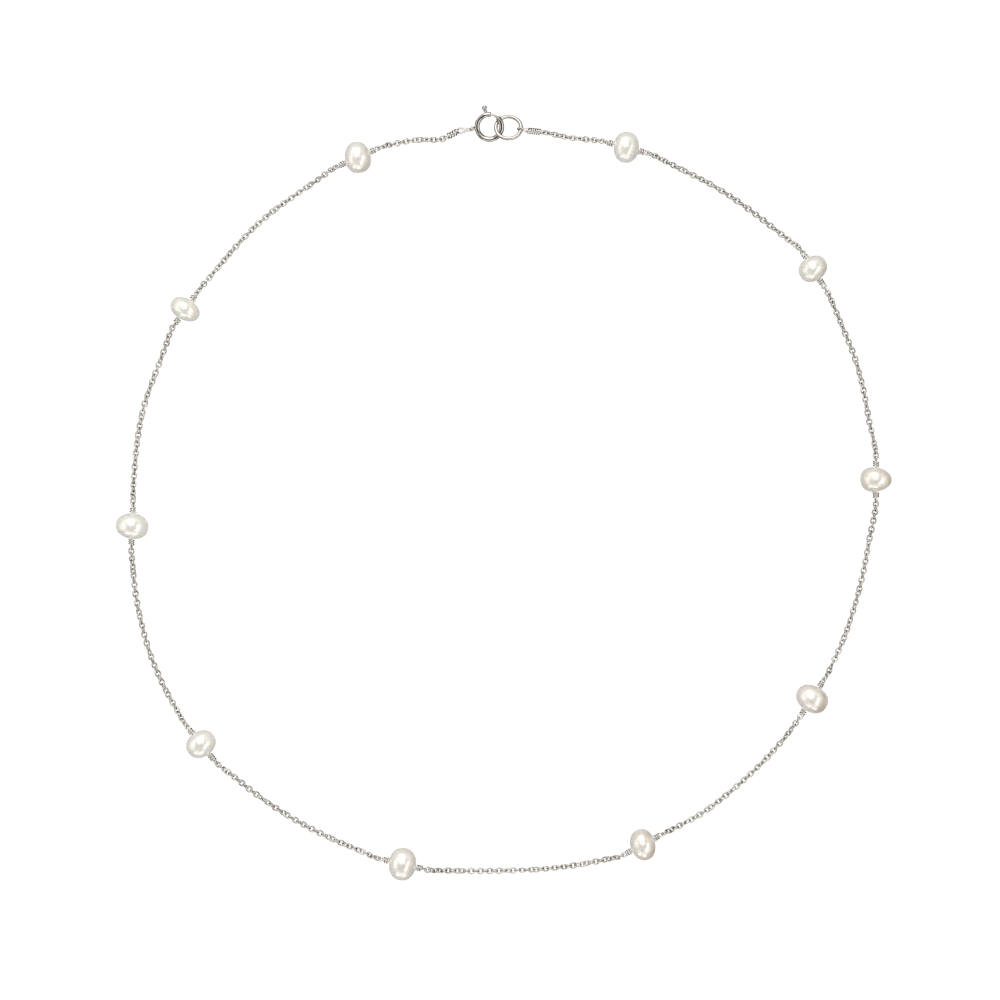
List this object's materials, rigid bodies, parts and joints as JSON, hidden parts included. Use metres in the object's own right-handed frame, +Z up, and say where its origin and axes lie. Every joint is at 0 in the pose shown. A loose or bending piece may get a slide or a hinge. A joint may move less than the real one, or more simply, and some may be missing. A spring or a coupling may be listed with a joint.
{
  "type": "pearl choker",
  "caption": "Station necklace laid flat and fastened: oblate pearls on wire eyes, joined by fine cable chain, with a spring ring clasp and an end ring.",
  "frame": {"origin": "on the surface that the choker lies on, at the middle of its box seen from above", "axes": "+Z up from the surface; +Y from the middle of the loop towards the clasp; +X to the right seen from above"},
  "size_m": [0.1318, 0.1317, 0.0057],
  "materials": {
    "pearl": "satin nacre, white with a cream and faintly pink rim",
    "silver_wire": "polished drawn silver wire, as links, coils and eyes",
    "silver_clasp": "polished silver tube and ring with small scratches"
  },
  "bodies": {
    "necklace": {"pearl_01": "pearl", "pearl_02": "pearl", "pearl_03": "pearl", "pearl_04": "pearl", "pearl_05": "pearl", "pearl_06": "pearl", "pearl_07": "pearl", "pearl_08": "pearl", "pearl_09": "pearl", "pearl_10": "pearl", "wire_01": "silver_wire", "wire_02": "silver_wire", "wire_03": "silver_wire", "wire_04": "silver_wire", "wire_05": "silver_wire", "wire_06": "silver_wire", "wire_07": "silver_wire", "wire_08": "silver_wire", "wire_09": "silver_wire", "wire_10": "silver_wire", "chain_01": "silver_wire", "chain_02": "silver_wire", "chain_03": "silver_wire", "chain_04": "silver_wire", "chain_05": "silver_wire", "chain_06": "silver_wire", "chain_07": "silver_wire", "chain_08": "silver_wire", "chain_09": "silver_wire", "chain_10": "silver_wire", "chain_11": "silver_wire", "end_wire_left": "silver_wire", "end_wire_right": "silver_wire", "clasp_ring": "silver_clasp", "end_ring": "silver_clasp"},
    "trigger": {"clasp_trigger": "silver_clasp"}
  },
  "joints": [
    {"name": "trigger_slide", "type": "hinge", "parent": "necklace", "child": "trigger", "pos_m": [-0.00245, 0.0622, 0.00091], "axis": [-0.153, -0.153, 0.9763], "range_deg": [0, 42], "stiffness_Nm_per_rad": 0.002, "springref_deg": -11.46}
  ]
}
